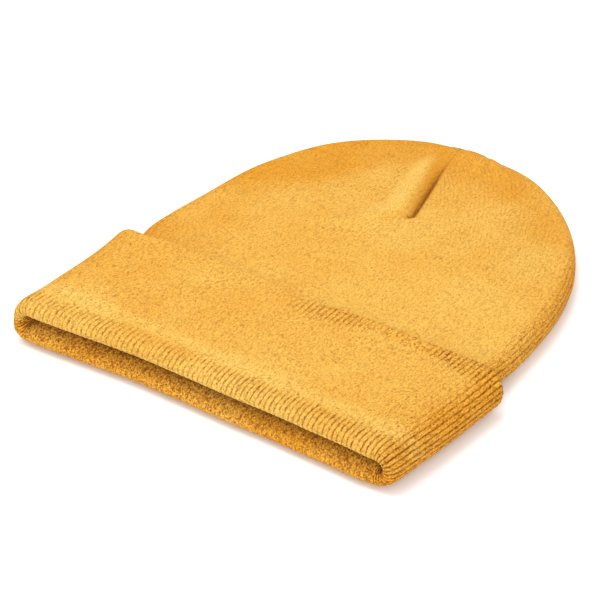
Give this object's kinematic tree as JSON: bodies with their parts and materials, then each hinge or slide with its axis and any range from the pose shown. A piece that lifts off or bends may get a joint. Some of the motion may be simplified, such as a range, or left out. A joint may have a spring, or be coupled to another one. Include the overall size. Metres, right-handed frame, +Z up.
{
  "type": "knit beanie",
  "caption": "Cuffed knit beanie of double-layer fine rib, lying flat, with a deep turned-up cuff, a darted round crown, an open mouth and a blank folded label inside",
  "frame": {"origin": "on the surface the hat lies on, under the middle of its box", "axes": "+X across the hat, +Y from the mouth to the crown, +Z up from the back panel to the front"},
  "size_m": [0.217, 0.236, 0.022],
  "materials": {
    "knit": "matte",
    "seam_thread": "matte",
    "label_tape": "satin",
    "label_thread": "matte"
  },
  "bodies": {
    "back_panel": {"shell_back": "knit", "lining_back": "knit", "cuff_facing_back": "knit", "cuff_backing_back": "knit", "dart_back": "seam_thread", "dart_left": "seam_thread", "dart_right": "seam_thread", "dart_front": "seam_thread", "crown_tack": "seam_thread", "lining_dart_back": "seam_thread", "lining_dart_left": "seam_thread", "lining_dart_right": "seam_thread", "lining_dart_front": "seam_thread", "lining_crown_tack": "seam_thread", "care_label": "label_tape", "label_stitch": "label_thread"},
    "front_panel": {"shell_front": "knit", "lining_front": "knit"},
    "front_cuff": {"cuff_facing_front": "knit", "cuff_backing_front": "knit"}
  },
  "joints": [
    {"name": "mouth_open", "type": "hinge", "parent": "back_panel", "child": "front_panel", "pos_m": [0, 0.04, 0.0172], "axis": [-1, 0, 0], "range_deg": [0, 15]},
    {"name": "cuff_lift", "type": "hinge", "parent": "front_panel", "child": "front_cuff", "pos_m": [0, -0.114, 0.018], "axis": [1, 0, 0], "range_deg": [0, 30]}
  ]
}
